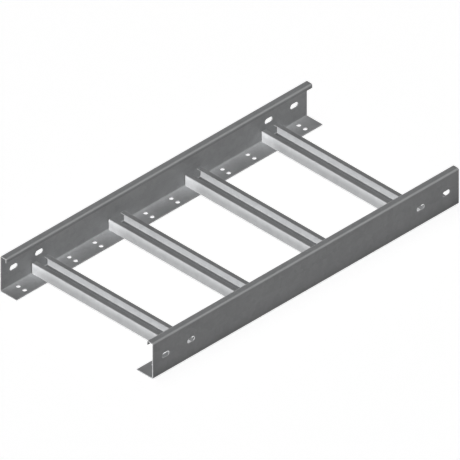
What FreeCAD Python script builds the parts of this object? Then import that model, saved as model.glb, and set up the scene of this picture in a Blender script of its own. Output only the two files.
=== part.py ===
import FreeCAD, Part
import math
import os
import Sketcher

# Cable ladder section: two side rails folded from sheet, with channel rungs lying across them.
# X runs along the rails, Y across them and Z up, in millimetres.
# The origin is at the middle of the underside.

SIZES = {
    # The section as a whole
    "rail_length": 600,
    "ladder_width": 300,
    # Side rail: web, base flange turned inwards, top flange turned inwards with a lip turned down
    "rail_height": 60,
    "base_flange_width": 32,
    "top_flange_width": 12,
    "lip_height": 7,
    "rail_sheet": 1.5,
    "rail_bend_radius": 0.75,
    # Joint slots in the web, a pair near each end
    "slot_length": 15,
    "slot_width": 8.5,
    "slot_pitch": 50,
    "slot_end_distance": 25,
    "slot_height": 30,
    # Fixing holes in the base flange, in pairs side by side
    "hole_diameter": 6.5,
    "hole_pitch": 50,
    "hole_end_distance": 25,
    "hole_edge_distance": 9,
    "hole_row_spacing": 12.5,
    # Rungs: channels open upwards, with two lips turned inwards, spread evenly along the rails
    "rung_count": 4,
    "rung_width": 31,
    "rung_height": 18.5,
    "rung_lip_width": 8,
    "rung_sheet": 1,
    "rung_bend_radius": 0.2,
    "rung_end_clearance": 1,
}

# A sketch numbers the points of a line or arc: 1 is its start, 2 its end and 3 an arc's centre.
ORIGIN = (-1, 1)
PAIR = 2

# Whole steps between the hole pairs that the rail has room for, whatever the last digit says
ROUNDING = 0.001
HOLE_STEPS = (
    "floor((Sizes.rail_length - 2 * Sizes.hole_end_distance) / Sizes.hole_pitch"
    f" + {ROUNDING})"
)


def make_sizes(doc):
    """Writes the driving dimensions to a spreadsheet, each cell with its alias."""
    sheet = doc.addObject("Spreadsheet::Sheet", "Sizes")
    for row, (alias, value) in enumerate(SIZES.items(), start=1):
        sheet.set(f"A{row}", alias.replace("_", " "))
        sheet.set(f"B{row}", str(value))
        sheet.setAlias(f"B{row}", alias)
    doc.recompute()
    return sheet


def origin_feature(body, role):
    """The plane or axis of the body's own origin that has this role."""
    return next(item for item in body.Origin.OriginFeatures if item.Role == role)


def new_sketch(body, plane, name):
    """An empty sketch on one of the body's origin planes."""
    sketch = body.newObject("Sketcher::SketchObject", name)
    sketch.AttachmentSupport = (origin_feature(body, plane), [""])
    sketch.MapMode = "FlatFace"
    return sketch


def name_and_bind(sketch, constraint, name, formula):
    """Adds a dimension and binds it to a formula of the sheet's cells."""
    index = sketch.addConstraint(constraint)
    sketch.renameConstraint(index, name)
    sketch.setExpression(f"Constraints.{name}", formula)


def bind_distance(sketch, kind, first, second, name, formula):
    """Binds the DistanceX or DistanceY from one point to another that lies further along."""
    span = sketch.getPoint(*second) - sketch.getPoint(*first)
    start = span.x if kind == "DistanceX" else span.y
    name_and_bind(sketch, Sketcher.Constraint(kind, *first, *second, start), name, formula)


def keep_on_axis(sketch, line, axis):
    """Keeps the start of a line on the sketch's horizontal or vertical axis."""
    geometry = {"horizontal": -1, "vertical": -2}[axis]
    sketch.addConstraint(Sketcher.Constraint("PointOnObject", line, 1, geometry))


def keep_straight(sketch, line, way):
    """Keeps a line along X or Y, whichever it was drawn along."""
    kind = "Horizontal" if abs(way.x) > abs(way.y) else "Vertical"
    sketch.addConstraint(Sketcher.Constraint(kind, line))


def left_of(way):
    return FreeCAD.Vector(-way.y, way.x, 0)


def folded_outline(sketch, corners, sheet_alias, bend_alias, sizes):
    """Draws the section of a folded sheet and returns the outer line of each leg.

    The corners are the sharp outer ones, from one free edge to the other, and every bend
    is a right angle to the left, so the sheet's inner face lies to the left of the path.
    """
    thickness = sizes.get(sheet_alias)
    inner = sizes.get(bend_alias)
    outer = inner + thickness
    points = [FreeCAD.Vector(x, y, 0) for x, y in corners]
    ways = [(end - start).normalize() for start, end in zip(points, points[1:])]
    last = len(ways) - 1

    outer_lines = []
    inner_lines = []
    for leg, way in enumerate(ways):
        start = points[leg] + way * (outer if leg > 0 else 0)
        end = points[leg + 1] - way * (outer if leg < last else 0)
        inset = left_of(way) * thickness
        outer_lines.append(sketch.addGeometry(Part.LineSegment(start, end), False))
        inner_lines.append(sketch.addGeometry(Part.LineSegment(start + inset, end + inset), False))
        keep_straight(sketch, outer_lines[leg], way)
        if leg in (0, last):
            keep_straight(sketch, inner_lines[leg], way)

    for bend in range(1, len(ways)):
        way = ways[bend - 1]
        centre = points[bend] - way * outer + left_of(way) * outer
        angle = math.atan2(-left_of(way).y, -left_of(way).x)
        arcs = []
        for side, radius, lines in (("outer", outer, outer_lines), ("inner", inner, inner_lines)):
            circle = Part.Circle(centre, FreeCAD.Vector(0, 0, 1), radius)
            arc = sketch.addGeometry(Part.ArcOfCircle(circle, angle, angle + math.pi / 2), False)
            sketch.addConstraint(Sketcher.Constraint("Tangent", lines[bend - 1], 2, arc, 1))
            sketch.addConstraint(Sketcher.Constraint("Tangent", arc, 2, lines[bend], 1))
            formula = f"Sizes.{bend_alias}"
            if side == "outer":
                formula += f" + Sizes.{sheet_alias}"
            limit = Sketcher.Constraint("Radius", arc, radius)
            name_and_bind(sketch, limit, f"{side}_radius_{bend}", formula)
            arcs.append(arc)
        sketch.addConstraint(Sketcher.Constraint("Coincident", arcs[0], 3, arcs[1], 3))

    for leg, end in ((0, 1), (last, 2)):
        cap = sketch.addGeometry(Part.LineSegment(
            sketch.getPoint(outer_lines[leg], end), sketch.getPoint(inner_lines[leg], end)), False)
        sketch.addConstraint(Sketcher.Constraint("Coincident", outer_lines[leg], end, cap, 1))
        sketch.addConstraint(Sketcher.Constraint("Coincident", inner_lines[leg], end, cap, 2))
        keep_straight(sketch, cap, left_of(ways[leg]))
    return outer_lines


def pad_both_ways(body, sketch, name, formula):
    """Pads a profile to both sides of its plane."""
    pad = body.newObject("PartDesign::Pad", name)
    pad.Profile = sketch
    pad.SideType = "Symmetric"
    pad.setExpression("Length", formula)
    return pad


def pocket_through_sheet(body, sketch, name, reverse):
    """Cuts a profile through one thickness of the rail's sheet."""
    pocket = body.newObject("PartDesign::Pocket", name)
    pocket.Profile = sketch
    pocket.Reversed = reverse
    pocket.setExpression("Length", "Sizes.rail_sheet")
    return pocket


def rail_profile(body, sizes):
    """The rail's section, with its web's outer face on the vertical axis."""
    sketch = new_sketch(body, "YZ_Plane", "rail_profile")
    height = sizes.get("rail_height")
    base = sizes.get("base_flange_width")
    top = sizes.get("top_flange_width")
    corners = (
        (top, height - sizes.get("lip_height")),
        (top, height),
        (0, height),
        (0, 0),
        (base, 0),
    )
    lip, top_flange, web, base_flange = folded_outline(
        sketch, corners, "rail_sheet", "rail_bend_radius", sizes)
    keep_on_axis(sketch, web, "vertical")
    keep_on_axis(sketch, base_flange, "horizontal")
    bind_distance(sketch, "DistanceY", ORIGIN, (top_flange, 1), "height", "Sizes.rail_height")
    bind_distance(sketch, "DistanceX", ORIGIN, (lip, 1), "top_width", "Sizes.top_flange_width")
    bind_distance(sketch, "DistanceX", ORIGIN, (base_flange, 2), "base_width",
                  "Sizes.base_flange_width")
    bind_distance(sketch, "DistanceY", (lip, 1), (top_flange, 1), "lip", "Sizes.lip_height")
    return sketch


def draw_slot(sketch, middle, length, width):
    """Draws a slot along X and returns its two round ends."""
    radius = width / 2
    normal = FreeCAD.Vector(0, 0, 1)
    left = middle - FreeCAD.Vector(length / 2 - radius, 0, 0)
    right = middle + FreeCAD.Vector(length / 2 - radius, 0, 0)
    up = FreeCAD.Vector(0, radius, 0)
    below = sketch.addGeometry(Part.LineSegment(left - up, right - up), False)
    above = sketch.addGeometry(Part.LineSegment(right + up, left + up), False)
    right_end = sketch.addGeometry(Part.ArcOfCircle(
        Part.Circle(right, normal, radius), -math.pi / 2, math.pi / 2), False)
    left_end = sketch.addGeometry(Part.ArcOfCircle(
        Part.Circle(left, normal, radius), math.pi / 2, 3 * math.pi / 2), False)
    for first, second in ((below, right_end), (right_end, above), (above, left_end),
                          (left_end, below)):
        sketch.addConstraint(Sketcher.Constraint("Tangent", first, 2, second, 1))
    sketch.addConstraint(Sketcher.Constraint("Horizontal", below))
    sketch.addConstraint(Sketcher.Constraint("Equal", right_end, left_end))
    return left_end, right_end


def slot_profile(body, sizes):
    """The pair of web slots near the rail's -X end."""
    sketch = new_sketch(body, "XZ_Plane", "slot_profile")
    length = sizes.get("slot_length")
    width = sizes.get("slot_width")
    first = sizes.get("slot_end_distance") - sizes.get("rail_length") / 2
    for number in range(PAIR):
        middle = FreeCAD.Vector(
            first + number * sizes.get("slot_pitch"), sizes.get("slot_height"), 0)
        left_end, right_end = draw_slot(sketch, middle, length, width)
        name_and_bind(sketch, Sketcher.Constraint("Radius", left_end, width / 2),
                      f"end_radius_{number}", "Sizes.slot_width / 2")
        bind_distance(sketch, "DistanceX", (left_end, 3), (right_end, 3), f"centres_{number}",
                      "Sizes.slot_length - Sizes.slot_width")
        bind_distance(sketch, "DistanceX", (left_end, 3), ORIGIN, f"from_middle_{number}",
                      "(Sizes.rail_length + Sizes.slot_length - Sizes.slot_width) / 2"
                      f" - Sizes.slot_end_distance - {number} * Sizes.slot_pitch")
        bind_distance(sketch, "DistanceY", ORIGIN, (left_end, 3), f"above_base_{number}",
                      "Sizes.slot_height")
    return sketch


def hole_profile(body, sizes):
    """The pair of flange holes nearest the rail's -X end."""
    sketch = new_sketch(body, "XY_Plane", "hole_profile")
    room = sizes.get("rail_length") - 2 * sizes.get("hole_end_distance")
    steps = math.floor(room / sizes.get("hole_pitch") + ROUNDING)
    diameter = sizes.get("hole_diameter")
    outer_row = sizes.get("base_flange_width") - sizes.get("hole_edge_distance")
    for row in range(PAIR):
        centre = FreeCAD.Vector(
            -steps * sizes.get("hole_pitch") / 2, outer_row - row * sizes.get("hole_row_spacing"), 0)
        circle = sketch.addGeometry(
            Part.Circle(centre, FreeCAD.Vector(0, 0, 1), diameter / 2), False)
        name_and_bind(sketch, Sketcher.Constraint("Diameter", circle, diameter),
                      f"diameter_{row}", "Sizes.hole_diameter")
        bind_distance(sketch, "DistanceX", (circle, 3), ORIGIN, f"from_middle_{row}",
                      f"{HOLE_STEPS} * Sizes.hole_pitch / 2")
        bind_distance(sketch, "DistanceY", ORIGIN, (circle, 3), f"from_web_{row}",
                      "Sizes.base_flange_width - Sizes.hole_edge_distance"
                      f" - {row} * Sizes.hole_row_spacing")
    return sketch


def mirror_slots(body, slots):
    """Repeats the pair of slots at the rail's other end."""
    mirror = body.newObject("PartDesign::Mirrored", "slot_mirror")
    mirror.Originals = [slots]
    mirror.MirrorPlane = (origin_feature(body, "YZ_Plane"), [""])
    body.Tip = mirror
    return mirror


def repeat_holes(body, holes):
    """Repeats the pair of flange holes along the rail."""
    pattern = body.newObject("PartDesign::LinearPattern", "hole_pattern")
    pattern.Originals = [holes]
    pattern.Direction = (origin_feature(body, "X_Axis"), [""])
    pattern.Mode = "Spacing"
    pattern.setExpression("Occurrences", f"{HOLE_STEPS} + 1")
    pattern.setExpression("Offset", "Sizes.hole_pitch")
    body.Tip = pattern
    return pattern


def make_rail(doc, sizes, label, side):
    """A side rail at -Y for side -1 or at +Y for side 1, its flanges pointing inwards."""
    body = doc.addObject("PartDesign::Body", label)
    body.Label = label
    turn = 0 if side < 0 else 180
    body.Placement.Rotation = FreeCAD.Rotation(FreeCAD.Vector(0, 0, 1), turn)
    body.setExpression("Placement.Base.y", f"{side} * Sizes.ladder_width / 2")
    pad_both_ways(body, rail_profile(body, sizes), "rail_pad", "Sizes.rail_length")
    doc.recompute()

    slots = pocket_through_sheet(body, slot_profile(body, sizes), "slot_cut", False)
    doc.recompute()
    all_slots = mirror_slots(body, slots)
    doc.recompute()
    holes = pocket_through_sheet(body, hole_profile(body, sizes), "hole_cut", True)
    doc.recompute()
    all_holes = repeat_holes(body, holes)
    doc.recompute()
    for before, after in ((slots.BaseFeature, slots), (slots, all_slots), (all_slots, holes),
                          (holes, all_holes)):
        require_cut(before, after)
    return body


def rung_profile(body, sizes):
    """The rung's section, standing on the horizontal axis and centred on the vertical one."""
    sketch = new_sketch(body, "XZ_Plane", "rung_profile")
    half = sizes.get("rung_width") / 2
    height = sizes.get("rung_height")
    slit = half - sizes.get("rung_lip_width")
    corners = (
        (-slit, height),
        (-half, height),
        (-half, 0),
        (half, 0),
        (half, height),
        (slit, height),
    )
    left_lip, left_wall, floor, right_wall, right_lip = folded_outline(
        sketch, corners, "rung_sheet", "rung_bend_radius", sizes)
    keep_on_axis(sketch, floor, "horizontal")
    bind_distance(sketch, "DistanceX", (left_wall, 1), ORIGIN, "left_half", "Sizes.rung_width / 2")
    bind_distance(sketch, "DistanceX", ORIGIN, (right_wall, 1), "right_half",
                  "Sizes.rung_width / 2")
    bind_distance(sketch, "DistanceY", ORIGIN, (left_lip, 1), "left_height", "Sizes.rung_height")
    bind_distance(sketch, "DistanceY", ORIGIN, (right_lip, 2), "right_height",
                  "Sizes.rung_height")
    bind_distance(sketch, "DistanceX", (left_wall, 1), (left_lip, 1), "left_lip",
                  "Sizes.rung_lip_width")
    bind_distance(sketch, "DistanceX", (right_lip, 2), (right_wall, 1), "right_lip",
                  "Sizes.rung_lip_width")
    return sketch


def make_rung(doc, sizes, number, steps_from_middle):
    """A rung lying on the base flanges, its ends just clear of the bends at the webs.

    The outermost rungs are half a step from the rails' ends, so the steps run on evenly
    from one ladder section to the next.
    """
    label = f"rung_{number}"
    body = doc.addObject("PartDesign::Body", label)
    body.Label = label
    body.setExpression(
        "Placement.Base.x", f"{steps_from_middle} * Sizes.rail_length / Sizes.rung_count")
    body.setExpression("Placement.Base.z", "Sizes.rail_sheet")
    pad_both_ways(
        body, rung_profile(body, sizes), "rung_pad",
        "Sizes.ladder_width"
        " - 2 * (Sizes.rail_sheet + Sizes.rail_bend_radius + Sizes.rung_end_clearance)")
    return body


def require_cut(before, after):
    """Stops if a feature has taken no material away."""
    if after.Shape.Volume >= before.Shape.Volume:
        raise RuntimeError(f"{after.Name} cuts nothing")


def require_sound(doc, bodies):
    """Stops if a feature has failed or a piece isn't one whole, valid solid."""
    for item in doc.Objects:
        if "Invalid" in item.State or "Error" in item.State:
            raise RuntimeError(f"{item.Name} is in state {item.State}")
    for body in bodies:
        shape = body.Shape
        if shape.isNull() or not shape.isValid() or len(shape.Solids) != 1:
            raise RuntimeError(f"{body.Label} isn't one valid solid")


def main():
    doc = FreeCAD.newDocument("cable_ladder_section")
    sizes = make_sizes(doc)
    bodies = [
        make_rail(doc, sizes, "side_rail_left", -1),
        make_rail(doc, sizes, "side_rail_right", 1),
    ]
    rung_count = int(sizes.get("rung_count"))
    for number in range(1, rung_count + 1):
        bodies.append(make_rung(doc, sizes, number, number - (rung_count + 1) / 2))
    doc.recompute()
    require_sound(doc, bodies)

    os.makedirs("parts", exist_ok=True)
    for body in bodies:
        body.Shape.exportStep(f"parts/{body.Label}.step")
        box = body.Shape.BoundBox
        print(f"{body.Label}: {body.Shape.Volume:.0f} mm3,"
              f" X {box.XMin:.2f} to {box.XMax:.2f},"
              f" Y {box.YMin:.2f} to {box.YMax:.2f},"
              f" Z {box.ZMin:.2f} to {box.ZMax:.2f}")


main()
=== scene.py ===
import math

import bmesh
import bpy
from mathutils import Matrix, Vector
from mathutils.geometry import delaunay_2d_cdt, tessellate_polygon


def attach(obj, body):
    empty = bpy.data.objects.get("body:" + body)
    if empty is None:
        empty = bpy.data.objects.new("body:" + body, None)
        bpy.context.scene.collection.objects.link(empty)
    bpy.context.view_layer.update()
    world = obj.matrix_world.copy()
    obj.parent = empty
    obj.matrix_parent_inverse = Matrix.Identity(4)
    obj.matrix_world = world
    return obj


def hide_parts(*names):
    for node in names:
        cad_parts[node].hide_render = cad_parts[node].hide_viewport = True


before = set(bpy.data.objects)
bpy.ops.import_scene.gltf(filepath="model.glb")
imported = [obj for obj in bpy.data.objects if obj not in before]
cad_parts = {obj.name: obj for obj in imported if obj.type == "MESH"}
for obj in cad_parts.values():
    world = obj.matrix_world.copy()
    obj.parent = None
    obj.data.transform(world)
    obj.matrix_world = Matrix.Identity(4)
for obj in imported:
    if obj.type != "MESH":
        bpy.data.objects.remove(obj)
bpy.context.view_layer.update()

# Sizes, in millimetres like the CAD source. Every mesh is scaled to metres once, at its end.
MM = 0.001
RAIL_LENGTH = 600.0
HALF_WIDTH = 150.0
RAIL_SHEET = 1.5
RAIL_BEND = 0.75
RAIL_CORNERS = ((12.0, 53.0), (12.0, 60.0), (0.0, 60.0), (0.0, 0.0), (32.0, 0.0))
WEB_LEG = 2
BASE_LEG = 3
RUNG_SHEET = 1.0
RUNG_BEND = 0.2
RUNG_END = 146.75
RUNG_CORNERS = ((-7.5, 18.5), (-15.5, 18.5), (-15.5, 0.0), (15.5, 0.0), (15.5, 18.5), (7.5, 18.5))
RUNG_PLACES = {"rung_1": -225.0, "rung_2": -75.0, "rung_3": 75.0, "rung_4": 225.0}

# Joint slots in the web: middles along the rail, height, half of the straight part, radius
SLOT_PLACES = (-275.0, -225.0, 225.0, 275.0)
SLOT_HEIGHT = 30.0
SLOT_HALF_STRAIGHT = 3.25
SLOT_RADIUS = 4.25

# Fixing holes in the base flange
HOLE_PITCH = 50.0
HOLES_IN_ROW = 12
HOLE_ROWS = (10.5, 23.0)
HOLE_RADIUS = 3.25

# Radii of the roundings: free edges, cut ends, and a hole's two rims as the punch goes in and out
EDGE_ROUND = 0.28
END_ROUND = 0.22
ENTRY_ROUND = 0.25
EXIT_ROUND = 0.14

# How finely the meshes are cut, with extra points this far from ends, long edges and holes
ROUND_STEPS = 3
BEND_STEPS = 8
HOLE_STEPS = 40
GRID = 10.0
END_MARGINS = (0.9, 2.8)
EDGE_MARGINS = (1.5,)
HOLE_MARGINS = (0.8, 2.4)
HOLE_CLEARANCE = 4.0
ON_THE_LINE = 0.01
SAME_POINT = 0.002
CUT_PRECISION = 1e-5
NORMAL_WEIGHT = 60

# Each mesh's material slots, and the share of a bend's painted highlight on the flat beside it
ZINC = 0
CUT = 1
BESIDE_BEND = 0.25

# The zinc's darkest and lightest tones, and the lighter one of worn edges and of the painted
# highlight on bends
DARK_ZINC = (0.272, 0.276, 0.281)
LIGHT_ZINC = (0.340, 0.344, 0.349)
WORN_AND_HIGHLIT_ZINC = (0.46, 0.465, 0.47)

# How the tone changes by place, as painted light and shade: factors and shares of it, and distances
# over which they fade. The left rail has less of the corner's painted light than the right one, and
# it fades faster upwards than across the flange, by the lean. A rung's walls turn from foot to top
# between two shares of its height.
RAIL_PLAIN = 0.87
CORNER_PAINTED_LIGHTS = (0.5, 1.5)
PAINTED_LIGHT_REACH = 16.0
PAINTED_LIGHT_LEAN = 25.0
WEB_PAINTED_LIGHT = 0.16
OUTER_PAINTED_SHADE = -0.195
LIP_PAINTED_SHADE = -0.07
FOOT_PAINTED_SHADE = -0.42
FOOT_REACH = 9.0
RAIL_END_PAINTED_SHADE = -0.14
END_PAINTED_LIGHT_LOSS = 0.55
RAIL_END_REACH = 14.0
# A rung's top is painted darker than its walls, as painted shade
RUNG_PLAIN = 0.73
WALL_PAINTED_LIGHT = 0.56
TOP_PAINTED_LIGHT = 0.62
RUNG_END_REACH = 43.0
WALL_FOOT = 0.80
WALL_TOP = 1.15
OUTSIDE_RISE = (0.45, 0.95)
INSIDE_FOOT = 1.15
INSIDE_TOP = 1.04
INSIDE_RISE = (0.2, 0.8)

# How deep below the outer face a rail's web still counts as web, and where a rung's walls and their
# outer faces fade in, all in thicknesses of the sheet
WEB_DEPTH = 1.5
WALL_DEPTHS = (1.3, 1.0)
OUTSIDE_DEPTHS = (0.6, 0.4)

# Seeds, which set one material's patterns apart from another's
RAIL_SEED = 1.0
RUNG_SEED = 5.0
CUT_SEED = 1.0

# Patterns in the zinc: how they are moved, how fine they are, and their shares of the tone
ZINC_SHIFT = (137.0, 71.0, 31.0)
WOBBLE = 7.0
WOBBLE_SCALE = 0.16
LARGE_SCALE = 0.115
SMALL_SCALE = 0.33
STREAK_ACROSS = 1.1
STREAK_ALONG = 0.012
CLOUD_SCALE = 0.014
PATCH_SCALE = 0.06
PEBBLE_SCALE = 1.4
LARGE_SHARE = 0.16
SMALL_SHARE = 0.10
STREAK_SHARE = 0.22
CLOUD_SHARE = 0.30
PATCH_SHARE = 0.22
ZINC_RANGE = (0.32, 0.68)

# Wear: how far it reaches from an edge, how ragged it is and how much shows there, and how much
# painted highlight shows on bends
WEAR_REACH = 2.4
RAGGED_SCALE = 0.5
WORN_SHARE = 0.55
BEND_HIGHLIGHT_SHARE = 0.7

# The zinc's gloss and relief, the relief in millimetres before its strength
ZINC_METALLIC = 0.12
ZINC_SPECULAR = 0.25
ROUGH_LEAST = 0.40
ROUGH_BY_GRAIN = 0.08
ROUGH_BY_PATCH = 0.22
WEAR_SMOOTHS = 0.12
GRAIN_RELIEF = 0.006
STREAK_RELIEF = 0.010
PEBBLE_RELIEF = 0.012
PATCH_RELIEF = 0.030
ZINC_STRENGTH = 0.6

# Sheared edges and punched walls: darkest and lightest tones, gloss and relief
CUT_SHIFT = (53.0, 17.0, 29.0)
DARK_CUT = (0.27, 0.273, 0.277)
LIGHT_CUT = (0.44, 0.443, 0.447)
CUT_RANGE = (0.36, 0.64)
MARKS_SCALE = 2.6
BANDS_SCALE = 0.35
CUT_METALLIC = 0.3
CUT_ROUGH_LEAST = 0.25
CUT_ROUGH_BY_MARKS = 0.3
CUT_RELIEF = 0.03
CUT_STRENGTH = 0.5

# The stage: a white floor that keeps a soft shadow, and a white surround
FLOOR_SIZE = 12.0
FLOOR_DROP = 0.0004
FLOOR_GLOW = 0.61
FLOOR_COLOUR = (0.85, 0.85, 0.85, 1)
FLOOR_BOUNCE = (0.5, 0.5, 0.5, 1)
WHITE = (1, 1, 1, 1)
AMBIENT = 0.05

# Each lamp's direction, its level on a white card that faces it, and its spread in degrees
LAMPS = {
    "side_light": ((-1.0, 0.0, 0.0), 1.42, 10),
    "highlight": ((0.55, -0.65, 0.53), 0.30, 30),
    "end_light": ((1.0, 0.0, 0.0), 0.7, 10),
    "back_light": ((0.0, 1.0, 0.0), 0.3, 10),
    "top_light": ((0.0, 0.0, 1.0), 0.20, 80),
}
SHADOW_LAMP = "top_light"

# The camera, at the photograph's angle
AZIMUTH = math.radians(-44.95)
ELEVATION = math.radians(35.11)
FRAME_WIDTH = 0.6382
AIM = Vector((0.000291, -0.000583, 0.029855))
CAMERA_DISTANCE = 2.0


def stations(start, end, spacing, margins):
    """Even places from start to end, with extra ones close to both ends."""
    count = max(1, round((end - start) / spacing))
    places = {start + (end - start) * k / count for k in range(count + 1)}
    for margin in margins:
        if end - start > 3 * margin:
            places |= {start + margin, end - margin}
    return sorted(places)


def rim(radius):
    """A quarter round at a hole's rim, as (distance outside the wall, depth below the face)."""
    points = []
    for step in range(ROUND_STEPS + 1):
        angle = math.pi / 2 * step / ROUND_STEPS
        points.append((radius * (1 - math.sin(angle)), radius * (1 - math.cos(angle))))
    return points


class Fold:
    """The section of a folded sheet: straight legs joined by right-angle bends to the left."""

    def __init__(self, corners, thickness, inner_radius):
        self.corners = [Vector(corner) for corner in corners]
        self.thickness = thickness
        self.inner_radius = inner_radius
        self.outer_radius = inner_radius + thickness
        self.last = len(corners) - 2
        self.ways = []
        self.lengths = []
        for start, end in zip(self.corners, self.corners[1:]):
            self.ways.append((end - start).normalized())
            self.lengths.append((end - start).length)

    def left(self, leg):
        """The direction from a leg's outer face to its inner one."""
        way = self.ways[leg]
        return Vector((-way.y, way.x))

    def span(self, leg):
        """Where the flat part of a leg starts and ends, along it from its first corner."""
        start = EDGE_ROUND if leg == 0 else self.outer_radius
        end = self.lengths[leg] - (EDGE_ROUND if leg == self.last else self.outer_radius)
        return start, end

    def at(self, leg, along, depth):
        """The point this far along a leg and this deep below its outer face."""
        return self.corners[leg] + self.ways[leg] * along + self.left(leg) * depth

    def path(self, leg, along):
        """Length of the outer path from the first free edge, bends counted as corners."""
        return sum(self.lengths[:leg]) + along

    def side(self, inset, inner, rows):
        """Points along one face, each with its path length, its bend share and the leg of its strip.

        The leg is that of the strip from this point to the next, or None in a bend.
        """
        depth = self.thickness - inset if inner else inset
        radius = self.inner_radius + inset if inner else self.outer_radius - inset
        points = []
        for leg in range(self.last + 1):
            start, end = self.span(leg)
            places = rows(leg, start, end)
            for number, along in enumerate(places):
                at_bend = (number == 0 and leg > 0) or (
                    number == len(places) - 1 and leg < self.last)
                strip = leg if number < len(places) - 1 else None
                points.append((self.at(leg, along, depth), self.path(leg, along),
                               BESIDE_BEND if at_bend else 0.0, strip))
            if leg < self.last:
                centre = self.at(leg, end, self.outer_radius)
                spoke = -self.left(leg) * radius
                for step in range(1, BEND_STEPS):
                    turn = Matrix.Rotation(math.pi / 2 * step / BEND_STEPS, 2)
                    points.append((centre + turn @ spoke, self.path(leg + 1, 0), 1.0, None))
        return points

    def free_edge(self, leg, at_start, inset):
        """The rounded free edge of the first or last leg, from its outer face to its inner one."""
        along = EDGE_ROUND if at_start else self.lengths[leg] - EDGE_ROUND
        outward = -1 if at_start else 1
        radius = EDGE_ROUND - inset
        points = []
        for first, depth in ((0, EDGE_ROUND), (90, self.thickness - EDGE_ROUND)):
            for step in range(ROUND_STEPS + 1):
                angle = math.radians(first + 90 * step / ROUND_STEPS)
                reach = math.sin(angle) * radius
                points.append(self.at(
                    leg, along + outward * reach, depth - math.cos(angle) * radius))
        return points

    def loop(self, inset, rows):
        """The whole outline, anticlockwise from the first free edge along the outer face.

        Each entry is the point, its path length, its bend share and what its strip is.
        """
        outer = self.side(inset, False, rows)
        inner = self.side(inset, True, rows)
        whole = self.path(self.last, self.lengths[self.last])
        entries = [(p, u, share, ("outer", leg)) for p, u, share, leg in outer]
        entries[-1] = entries[-1][:3] + (("edge", None),)
        end_points = self.free_edge(self.last, False, inset)[1:-1]
        entries += [(p, whole, 0.0, ("edge", None)) for p in end_points]
        for number in range(len(inner) - 1, -1, -1):
            p, u, share, _ = inner[number]
            leg = inner[number - 1][3] if number > 0 else None
            kind = ("inner", leg) if number > 0 else ("edge", None)
            entries.append((p, u, share, kind))
        start_points = self.free_edge(0, True, inset)[1:-1]
        entries += [(p, 0.0, 0.0, ("edge", None)) for p in reversed(start_points)]
        return entries


class Hole:
    """A round hole, or a slot along the piece, in one leg of a folded sheet."""

    def __init__(self, leg, across, along, radius, half_straight=0.0):
        self.leg = leg
        self.across = across
        self.along = along
        self.radius = radius
        self.half_straight = half_straight

    def outline(self, grow):
        """Points round the hole, this much outside its wall, as (across, along)."""
        points = []
        for step in range(HOLE_STEPS):
            angle = 2 * math.pi * (step + 0.5) / HOLE_STEPS
            shift = self.half_straight if math.cos(angle) > 0 else -self.half_straight
            reach = self.radius + grow
            points.append((self.across + math.sin(angle) * reach,
                           self.along + shift + math.cos(angle) * reach))
        return points

    def distance(self, across, along):
        """How far outside the hole's wall a point lies, below 0 inside it."""
        beyond = max(abs(along - self.along) - self.half_straight, 0.0)
        return math.hypot(across - self.across, beyond) - self.radius


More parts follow.
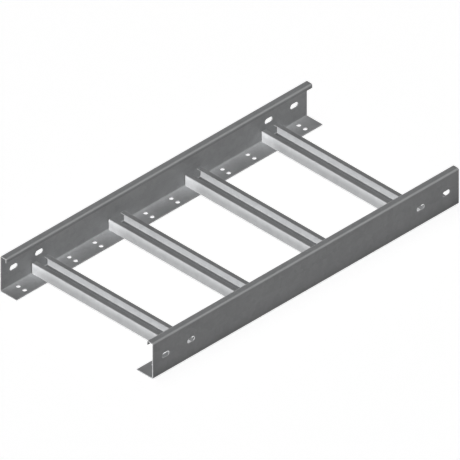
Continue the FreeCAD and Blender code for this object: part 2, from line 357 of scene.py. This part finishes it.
class Sheet:
    """A mesh of one folded sheet, made along its own length from a Fold and its holes."""

    def __init__(self, name, fold, length, holes, place, rubbed_ends):
        self.name = name
        self.fold = fold
        self.length = length
        self.holes = holes
        self.place = place
        self.rubbed_ends = rubbed_ends
        self.bm = bmesh.new()
        self.distance = self.bm.verts.layers.float.new("edge_distance")
        self.bend = self.bm.verts.layers.float.new("bend_share")
        self.ends = length / 2 - END_ROUND
        self.stops = stations(-self.ends, self.ends, GRID, END_MARGINS)

    def vertex(self, point, along, path, share):
        """A new vertex, which knows how far from an edge it is and how much of a bend it has."""
        whole = self.fold.path(self.fold.last, self.fold.lengths[self.fold.last])
        vertex = self.bm.verts.new(self.place(point, along))
        from_edge = min(path, whole - path)
        if self.rubbed_ends:
            from_edge = min(from_edge, self.length / 2 - abs(along))
        vertex[self.distance] = max(from_edge, 0.0)
        vertex[self.bend] = share
        return vertex

    def ring(self, inset, along):
        """The vertices of the whole section at one place along the sheet."""
        entries = self.fold.loop(inset, self.rows)
        return [self.vertex(point, along, path, share) for point, path, share, _ in entries]

    def face(self, vertices, slot):
        """A new smooth face in this material slot."""
        face = self.bm.faces.new(vertices)
        face.material_index = slot
        face.smooth = True

    def rows(self, leg, start, end):
        """Rows of points across a leg; a leg with holes gets its own patch instead."""
        if any(hole.leg == leg for hole in self.holes):
            return [start, end]
        return stations(start, end, GRID, EDGE_MARGINS)

    def skin(self):
        """The swept faces between the rounded ends, but for the legs that have holes."""
        kinds = [entry[3] for entry in self.fold.loop(0.0, self.rows)]
        pierced = {hole.leg for hole in self.holes}
        rings = [self.ring(0.0, along) for along in self.stops]
        for first, second in zip(rings, rings[1:]):
            self.bridge(first, second, kinds, pierced)
        return kinds

    def bridge(self, first, second, kinds, skip=frozenset()):
        """The faces between two rings, but for those on the legs to skip."""
        count = len(first)
        for number in range(count):
            side, leg = kinds[number]
            if side != "edge" and leg in skip:
                continue
            after = (number + 1) % count
            slot = CUT if side == "edge" else ZINC
            self.face((first[number], first[after], second[after], second[number]), slot)

    def round_end(self, kinds, way):
        """The rounded and closed end at one end of the sheet."""
        rings = []
        for step in range(ROUND_STEPS + 1):
            angle = math.pi / 2 * step / ROUND_STEPS
            inset = END_ROUND * (1 - math.cos(angle))
            along = way * (self.ends + END_ROUND * math.sin(angle))
            rings.append(self.ring(inset, along))
        edges = [("edge", None)] * len(kinds)
        for first, second in zip(rings, rings[1:]):
            self.bridge(first, second, edges)
        flat = [Vector((*entry[0], 0.0)) for entry in self.fold.loop(END_ROUND, self.rows)]
        for corners in tessellate_polygon([flat]):
            self.face([rings[-1][corner] for corner in corners], CUT)

    def patch(self, leg, inner):
        """One face of a leg that has holes, cut round them."""
        start, end = self.fold.span(leg)
        holes = [hole for hole in self.holes if hole.leg == leg]
        grow = EXIT_ROUND if inner else ENTRY_ROUND
        points = []
        edges = []
        for along in self.stops:
            points += [(start, along), (end, along)]
        count = len(self.stops)
        for number in range(count - 1):
            edges += [(2 * number, 2 * number + 2), (2 * number + 1, 2 * number + 3)]
        edges += [(0, 1), (2 * count - 2, 2 * count - 1)]
        for hole in holes:
            first = len(points)
            points += hole.outline(grow)
            edges += [(first + k, first + (k + 1) % HOLE_STEPS) for k in range(HOLE_STEPS)]
            for margin in HOLE_MARGINS:
                points += hole.outline(grow + margin)[::2]
        for across in stations(start, end, GRID, EDGE_MARGINS)[1:-1]:
            for along in self.stops[1:-1]:
                if all(hole.distance(across, along) > HOLE_CLEARANCE for hole in holes):
                    points.append((across, along))

        corners = [Vector(point) for point in points]
        flat, _, triangles, *_ = delaunay_2d_cdt(corners, edges, [], 0, CUT_PRECISION)
        depth = self.fold.thickness if inner else 0.0
        vertices = []
        for across, along in flat:
            on_line = min(across - start, end - across) < ON_THE_LINE
            share = BESIDE_BEND if on_line and self.beside_bend(leg, across, start) else 0.0
            vertices.append(self.vertex(
                self.fold.at(leg, across, depth), along, self.fold.path(leg, across), share))
        for triangle in triangles:
            across = sum(flat[k].x for k in triangle) / 3
            along = sum(flat[k].y for k in triangle) / 3
            if all(hole.distance(across, along) > 0 for hole in holes):
                self.face([vertices[k] for k in triangle], ZINC)

    def beside_bend(self, leg, across, start):
        """Whether a point on one of a leg's two long lines has a bend beside it."""
        return leg > 0 if abs(across - start) < ON_THE_LINE else leg < self.fold.last

    def hole_wall(self, hole):
        """A punched hole's wall, rolled over where the punch went in, sharper where it came out."""
        profile = rim(ENTRY_ROUND)
        profile += [(grow, self.fold.thickness - depth) for grow, depth in reversed(rim(EXIT_ROUND))]
        rings = []
        for grow, depth in profile:
            ring = []
            for across, along in hole.outline(grow):
                ring.append(self.vertex(self.fold.at(hole.leg, across, depth), along,
                                        self.fold.path(hole.leg, across), 0.0))
            rings.append(ring)
        for step, (first, second) in enumerate(zip(rings, rings[1:])):
            slot = ZINC if step < ROUND_STEPS else CUT
            for number in range(HOLE_STEPS):
                after = (number + 1) % HOLE_STEPS
                self.face((first[number], first[after], second[after], second[number]), slot)

    def finish(self, node, materials):
        """Makes the object, which stands for its CAD node."""
        kinds = self.skin()
        self.round_end(kinds, -1)
        self.round_end(kinds, 1)
        for leg in sorted({hole.leg for hole in self.holes}):
            self.patch(leg, False)
            self.patch(leg, True)
        for hole in self.holes:
            self.hole_wall(hole)
        bmesh.ops.remove_doubles(self.bm, verts=self.bm.verts, dist=SAME_POINT)
        bmesh.ops.recalc_face_normals(self.bm, faces=self.bm.faces)
        bmesh.ops.scale(self.bm, vec=(MM, MM, MM), verts=self.bm.verts)
        mesh = bpy.data.meshes.new(self.name)
        self.bm.to_mesh(mesh)
        self.bm.free()
        for material in materials:
            mesh.materials.append(material)
        piece = bpy.data.objects.new(self.name, mesh)
        bpy.context.scene.collection.objects.link(piece)
        normals = piece.modifiers.new("even_normals", "WEIGHTED_NORMAL")
        normals.weight = NORMAL_WEIGHT
        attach(piece, "root")
        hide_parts(node)


def node_tool(owner):
    """Empties the node tree of a material or world, and gives short helpers to fill it."""
    owner.use_nodes = True
    tree = owner.node_tree
    tree.nodes.clear()

    def add(kind, inputs=(), **settings):
        node = tree.nodes.new(kind)
        for key, value in settings.items():
            setattr(node, key, value)
        for key, value in dict(inputs).items():
            if isinstance(value, bpy.types.NodeSocket):
                tree.links.new(value, node.inputs[key])
            else:
                node.inputs[key].default_value = value
        return node

    def maths(operation, first, second=None, clamp=False):
        inputs = {0: first}
        if second is not None:
            inputs[1] = second
        return add("ShaderNodeMath", inputs, operation=operation, use_clamp=clamp).outputs[0]

    return add, maths


def weighted(maths, pairs, total=None):
    """The sum of each value times its share, on top of what there is already."""
    for value, share in pairs:
        part = maths("MULTIPLY", value, share)
        total = part if total is None else maths("ADD", total, part)
    return total


def fade(maths, distance, reach):
    """1 at no distance, dying away over this reach."""
    return maths("POWER", math.e, maths("DIVIDE", maths("MULTIPLY", distance, -1.0), reach))


def rail_painted_shading(most_painted_light):
    """How much lighter or darker a rail is painted than its zinc, by place, as painted light and
    shade.

    Painted light lies in the inside corner between web and base flange, and less of it at the
    rail's ends, which carry painted shade. The web is painted lighter inside than outside, the lip
    a little darker, and the web's outer face darkest at its foot, all as painted shade.
    """
    def tone(add, maths, axes):
        from_end = maths("SUBTRACT", RAIL_LENGTH / 2, maths("ABSOLUTE", axes.outputs[0]))
        at_end = fade(maths, from_end, RAIL_END_REACH)
        aside = maths("ABSOLUTE", axes.outputs[1])
        height = axes.outputs[2]
        inside = maths("MULTIPLY", maths("LESS_THAN", aside, HALF_WIDTH - RAIL_SHEET / 2),
                       maths("GREATER_THAN", height, RAIL_SHEET / 2))
        from_web = maths("SUBTRACT", HALF_WIDTH - RAIL_SHEET, aside)
        from_flange = maths("SUBTRACT", height, RAIL_SHEET)
        away = maths("ADD", maths("MULTIPLY", from_flange, PAINTED_LIGHT_LEAN), from_web)
        # Painted light in the inside corner between web and base flange, weakened near the rail's
        # ends
        painted_light = maths("MULTIPLY", fade(maths, away, PAINTED_LIGHT_REACH), inside)
        kept = maths("SUBTRACT", 1.0, maths("MULTIPLY", at_end, END_PAINTED_LIGHT_LOSS))
        painted_light = maths("MULTIPLY", painted_light, kept)
        # Painted light on the web; painted shade on its outer face, at its foot, on the lip and at
        # the ends
        web = maths("GREATER_THAN", aside, HALF_WIDTH - WEB_DEPTH * RAIL_SHEET)
        outer = maths("GREATER_THAN", aside, HALF_WIDTH - RAIL_SHEET / 2)
        foot = maths("MULTIPLY", fade(maths, height, FOOT_REACH), outer)
        lip_across, lip_height = RAIL_CORNERS[0]
        lip = maths("MULTIPLY", maths("GREATER_THAN", height, lip_height),
                    maths("LESS_THAN", aside, HALF_WIDTH - lip_across + RAIL_SHEET / 2))
        return weighted(maths, (
            (painted_light, most_painted_light), (web, WEB_PAINTED_LIGHT), (outer, OUTER_PAINTED_SHADE), (lip, LIP_PAINTED_SHADE),
            (foot, FOOT_PAINTED_SHADE), (at_end, RAIL_END_PAINTED_SHADE)), RAIL_PLAIN)
    return tone


def rung_painted_shading(middle):
    """How much lighter or darker the rung at this place along the rails is painted than its zinc.

    Painted light lies at both ends, outside on the walls and on top. Painted shade makes the walls
    darkest at their feet outside and at their tops inside the channel, and the top darker than the
    walls.
    """
    def tone(add, maths, axes):
        def step(value, first, last):
            return add("ShaderNodeMapRange", {0: value, 1: first, 2: last},
                       interpolation_type="SMOOTHSTEP").outputs[0]

        def mix(share, low, high):
            return add("ShaderNodeMix", {0: share, 2: low, 3: high}).outputs[0]

        height = axes.outputs[2]
        aside = maths("ABSOLUTE", maths("SUBTRACT", axes.outputs[0], middle))
        half = RUNG_CORNERS[3][0]
        top = RAIL_SHEET + RUNG_CORNERS[0][1]
        on_top = step(height, top - RUNG_SHEET, top - RUNG_SHEET / 2)
        low, high = (half - depth * RUNG_SHEET for depth in WALL_DEPTHS)
        wall = maths("MULTIPLY", step(aside, low, high), maths("SUBTRACT", 1.0, on_top))
        from_end = maths("SUBTRACT", RUNG_END, maths("ABSOLUTE", axes.outputs[1]))
        # Painted light near both ends of the rung
        painted_light = maths("SUBTRACT", 1.0, step(from_end, 0.0, RUNG_END_REACH))
        low, high = (half - depth * RUNG_SHEET for depth in OUTSIDE_DEPTHS)
        outside = step(aside, low, high)
        # Painted shade at the walls' feet outside, painted light at their feet inside the channel
        low, high = OUTSIDE_RISE
        outer = mix(step(height, low * top, high * top), WALL_FOOT, WALL_TOP)
        outer = weighted(maths, ((painted_light, WALL_PAINTED_LIGHT),), outer)
        low, high = INSIDE_RISE
        inner = mix(step(height, low * top, high * top), INSIDE_FOOT, INSIDE_TOP)
        on_wall = mix(outside, inner, outer)
        # The top: painted darker than the walls, with painted light near the ends
        on_lip = weighted(maths, ((maths("MULTIPLY", painted_light, on_top), TOP_PAINTED_LIGHT),), RUNG_PLAIN)
        return mix(wall, on_lip, on_wall)
    return tone


def own_place(add, seed, shift):
    """The surface's own coordinates in millimetres, and the same moved by the seed.

    The move sets one material's patterns apart from another's.
    """
    place = add("ShaderNodeTexCoord").outputs["Object"]
    scaled = add("ShaderNodeVectorMath", {0: place, 3: 1 / MM}, operation="SCALE").outputs[0]
    move = tuple(seed * way for way in shift)
    moved = add("ShaderNodeVectorMath", {0: scaled, 1: move}, operation="ADD").outputs[0]
    return scaled, moved


def noise(add, place, scale, detail, roughness=0.5):
    """A cloudy pattern, finer for a larger scale."""
    return add("ShaderNodeTexNoise", {"Vector": place, "Scale": scale, "Detail": detail,
                                      "Roughness": roughness})


def two_toned(add, value, limits, colours):
    """A colour that goes from the first to the second as the value goes from limit to limit."""
    ramp = add("ShaderNodeValToRGB", {0: value})
    for number in (0, 1):
        ramp.color_ramp.elements[number].position = limits[number]
        ramp.color_ramp.elements[number].color = (*colours[number], 1)
    return ramp.outputs[0]


def show(add, shader):
    """Makes this shader the one that the material shows."""
    output = add("ShaderNodeOutputMaterial", {0: shader.outputs[0]})
    output.is_active_output = True


def galvanised(name, along, seed, tone):
    """Zinc-coated sheet: spangle, rolling streaks, cloudy patina, rubbed edges and a painted
    highlight along bends.

    along is the direction in which the sheet was rolled, as 0 for X or 1 for Y. tone paints
    light and shade on the zinc by place.
    """
    material = bpy.data.materials.new(name)
    add, maths = node_tool(material)
    scaled, moved = own_place(add, seed, ZINC_SHIFT)

    # Zinc spangle in two sizes, with wobbly borders
    wobble = noise(add, moved, WOBBLE_SCALE, detail=3.0)
    centred = add("ShaderNodeVectorMath", {0: wobble.outputs["Color"], 1: (0.5, 0.5, 0.5)},
                  operation="SUBTRACT").outputs[0]
    pushed = add("ShaderNodeVectorMath", {0: centred, 3: WOBBLE}, operation="SCALE").outputs[0]
    warped = add("ShaderNodeVectorMath", {0: moved, 1: pushed}, operation="ADD").outputs[0]
    large = add("ShaderNodeTexVoronoi", {"Vector": warped, "Scale": LARGE_SCALE})
    small = add("ShaderNodeTexVoronoi", {"Vector": warped, "Scale": SMALL_SCALE})
    large_tone = add("ShaderNodeSeparateColor", {0: large.outputs["Color"]}).outputs[0]
    small_tone = add("ShaderNodeSeparateColor", {0: small.outputs["Color"]}).outputs[1]

    # Long streaks from rolling, and clouds of dull patina
    stretch = [STREAK_ACROSS] * 3
    stretch[along] = STREAK_ALONG
    drawn = add("ShaderNodeVectorMath", {0: moved, 1: stretch}, operation="MULTIPLY").outputs[0]
    streaks = noise(add, drawn, 1.0, detail=3.0)
    clouds = noise(add, moved, CLOUD_SCALE, detail=4.0, roughness=0.55)
    patches = noise(add, moved, PATCH_SCALE, detail=5.0, roughness=0.6)

    total = weighted(maths, (
        (large_tone, LARGE_SHARE), (small_tone, SMALL_SHARE), (streaks.outputs[0], STREAK_SHARE),
        (clouds.outputs[0], CLOUD_SHARE), (patches.outputs[0], PATCH_SHARE)))
    plain = two_toned(add, total, ZINC_RANGE, (DARK_ZINC, LIGHT_ZINC))
    axes = add("ShaderNodeSeparateXYZ", {0: scaled})
    toned = add("ShaderNodeVectorMath", {0: plain, 3: tone(add, maths, axes)},
                operation="SCALE").outputs[0]

    # Rubbed edges, where the zinc is worn brighter, and a painted highlight along the bends
    def worn_and_highlit(colour, share):
        return add("ShaderNodeMix", {0: share, 6: colour, 7: (*WORN_AND_HIGHLIT_ZINC, 1)},
                   data_type="RGBA").outputs[2]

    edge = add("ShaderNodeAttribute", attribute_name="edge_distance").outputs["Fac"]
    bend = add("ShaderNodeAttribute", attribute_name="bend_share").outputs["Fac"]
    ragged = noise(add, moved, RAGGED_SCALE, detail=4.0)
    reach = maths("MULTIPLY", ragged.outputs[0], WEAR_REACH)
    rubbed = maths("SUBTRACT", 1.0, maths("DIVIDE", edge, reach), clamp=True)
    rubbed = maths("MULTIPLY", rubbed, WORN_SHARE)
    # Lighter where the edges are worn, and a painted highlight along the bends
    colour = worn_and_highlit(worn_and_highlit(toned, rubbed), maths("MULTIPLY", bend, BEND_HIGHLIGHT_SHARE))

    # Roughness varies by grain and patina
    rough = weighted(maths, ((small_tone, ROUGH_BY_GRAIN), (patches.outputs[0], ROUGH_BY_PATCH)))
    rough = maths("ADD", rough, ROUGH_LEAST)
    rough = maths("SUBTRACT", rough, maths("MULTIPLY", rubbed, WEAR_SMOOTHS), clamp=True)

    # Relief: grain borders, streaks, a fine pebble and patches
    pebble = noise(add, moved, PEBBLE_SCALE, detail=3.0)
    relief = weighted(maths, (
        (large_tone, GRAIN_RELIEF), (streaks.outputs[0], STREAK_RELIEF),
        (pebble.outputs[0], PEBBLE_RELIEF), (patches.outputs[0], PATCH_RELIEF)))
    bump = add("ShaderNodeBump", {"Strength": ZINC_STRENGTH, "Distance": MM, "Height": relief})

    show(add, add("ShaderNodeBsdfPrincipled", {
        "Base Color": colour, "Roughness": rough, "Metallic": ZINC_METALLIC,
        "Specular IOR Level": ZINC_SPECULAR, "Normal": bump.outputs[0]}))
    return material


def cut_edge(name, seed):
    """A sheared edge or a punched wall: brighter and duller bands, with fine drag marks."""
    material = bpy.data.materials.new(name)
    add, maths = node_tool(material)
    _, moved = own_place(add, seed, CUT_SHIFT)
    marks = noise(add, moved, MARKS_SCALE, detail=4.0)
    bands = noise(add, moved, BANDS_SCALE, detail=2.0)
    total = weighted(maths, ((marks.outputs[0], 0.5), (bands.outputs[0], 0.5)))
    colour = two_toned(add, total, CUT_RANGE, (DARK_CUT, LIGHT_CUT))
    rough = weighted(maths, ((marks.outputs[0], CUT_ROUGH_BY_MARKS),), CUT_ROUGH_LEAST)
    relief = weighted(maths, ((marks.outputs[0], CUT_RELIEF),))
    bump = add("ShaderNodeBump", {"Strength": CUT_STRENGTH, "Distance": MM, "Height": relief})
    show(add, add("ShaderNodeBsdfPrincipled", {
        "Base Color": colour, "Roughness": rough, "Metallic": CUT_METALLIC,
        "Normal": bump.outputs[0]}))
    return material


def rail_holes():
    """The joint slots in a rail's web and the rows of holes in its base flange."""
    holes = [Hole(WEB_LEG, RAIL_CORNERS[2][1] - SLOT_HEIGHT, along, SLOT_RADIUS,
                  SLOT_HALF_STRAIGHT) for along in SLOT_PLACES]
    for number in range(HOLES_IN_ROW):
        along = HOLE_PITCH * (number - (HOLES_IN_ROW - 1) / 2)
        holes += [Hole(BASE_LEG, row, along, HOLE_RADIUS) for row in HOLE_ROWS]
    return holes


def rail_place(side):
    """Places a rail at -Y for side -1, or turned half a turn and at +Y for side 1."""
    def place(point, along):
        return (-side * along, side * (HALF_WIDTH - point.x), point.y)
    return place


def rung_place(middle):
    """Places a rung across the rails, on their base flanges, with its middle here along them."""
    def place(point, along):
        return (middle + point.x, along, RAIL_SHEET + point.y)
    return place


# The pieces
rail_fold = Fold(RAIL_CORNERS, RAIL_SHEET, RAIL_BEND)
rung_fold = Fold(RUNG_CORNERS, RUNG_SHEET, RUNG_BEND)
sheared = cut_edge("sheared_edge", CUT_SEED)
for number, (node, side) in enumerate((("side_rail_left", -1), ("side_rail_right", 1))):
    zinc = galvanised(f"galvanised_rail_{number + 1}", 0, RAIL_SEED + number,
                      rail_painted_shading(CORNER_PAINTED_LIGHTS[number]))
    Sheet(f"{node}_sheet", rail_fold, RAIL_LENGTH, rail_holes(), rail_place(side),
          rubbed_ends=True).finish(node, (zinc, sheared))
for number, (node, middle) in enumerate(RUNG_PLACES.items()):
    zinc = galvanised(f"galvanised_rung_{number + 1}", 1, RUNG_SEED + number,
                      rung_painted_shading(middle))
    Sheet(f"{node}_sheet", rung_fold, 2 * RUNG_END, [], rung_place(middle),
          rubbed_ends=False).finish(node, (zinc, sheared))


def seen_directly(add, maths):
    """1 for what the camera sees, itself or in gloss or through glass, and 0 for light."""
    path = add("ShaderNodeLightPath")
    seen = maths("MAXIMUM", path.outputs["Is Camera Ray"], path.outputs["Is Glossy Ray"])
    return maths("MAXIMUM", seen, path.outputs["Is Transmission Ray"])


def make_floor():
    """A white floor, which throws less light on the part than it shows the camera."""
    bpy.ops.mesh.primitive_plane_add(size=FLOOR_SIZE, location=(0, 0, -FLOOR_DROP))
    floor = bpy.context.object
    floor.name = "floor"
    material = bpy.data.materials.new("floor_white")
    add, maths = node_tool(material)
    glow = add("ShaderNodeEmission", {"Color": WHITE, "Strength": FLOOR_GLOW})
    soft = add("ShaderNodeBsdfDiffuse", {"Color": FLOOR_COLOUR})
    shown = add("ShaderNodeAddShader", {0: glow.outputs[0], 1: soft.outputs[0]})
    bounce = add("ShaderNodeBsdfDiffuse", {"Color": FLOOR_BOUNCE})
    show(add, add("ShaderNodeMixShader", {0: seen_directly(add, maths), 1: bounce.outputs[0],
                                          2: shown.outputs[0]}))
    floor.data.materials.append(material)


def make_world():
    """A white surround, which gives the part only a little light."""
    world = bpy.data.worlds.new("studio")
    bpy.context.scene.world = world
    add, maths = node_tool(world)
    light = add("ShaderNodeBackground", {"Color": WHITE, "Strength": AMBIENT})
    white = add("ShaderNodeBackground", {"Color": WHITE, "Strength": 1.0})
    mixed = add("ShaderNodeMixShader", {0: seen_directly(add, maths), 1: light.outputs[0],
                                        2: white.outputs[0]})
    add("ShaderNodeOutputWorld", {0: mixed.outputs[0]})


def add_sun(name, towards, level, spread):
    """A distant lamp in this direction. Only the one named for it casts shadows."""
    lamp = bpy.data.lights.new(name, "SUN")
    lamp.energy = level * math.pi
    lamp.angle = math.radians(spread)
    lamp.use_shadow = name == SHADOW_LAMP
    holder = bpy.data.objects.new(name, lamp)
    holder.rotation_mode = "QUATERNION"
    holder.rotation_quaternion = Vector(towards).to_track_quat("Z", "Y")
    bpy.context.scene.collection.objects.link(holder)


def make_camera():
    """An orthographic camera that looks at the aim from the photograph's angle."""
    back = Vector((math.sin(AZIMUTH) * math.cos(ELEVATION),
                   -math.cos(AZIMUTH) * math.cos(ELEVATION), math.sin(ELEVATION)))
    camera = bpy.data.objects.new("camera", bpy.data.cameras.new("camera"))
    bpy.context.scene.collection.objects.link(camera)
    camera.data.type = "ORTHO"
    camera.data.ortho_scale = FRAME_WIDTH
    camera.location = AIM + back * CAMERA_DISTANCE
    camera.rotation_mode = "QUATERNION"
    camera.rotation_quaternion = (-back).to_track_quat("-Z", "Y")
    bpy.context.scene.camera = camera


make_floor()
make_world()
for name, (towards, level, spread) in LAMPS.items():
    add_sun(name, towards, level, spread)
make_camera()
bpy.context.scene.view_settings.view_transform = "Standard"
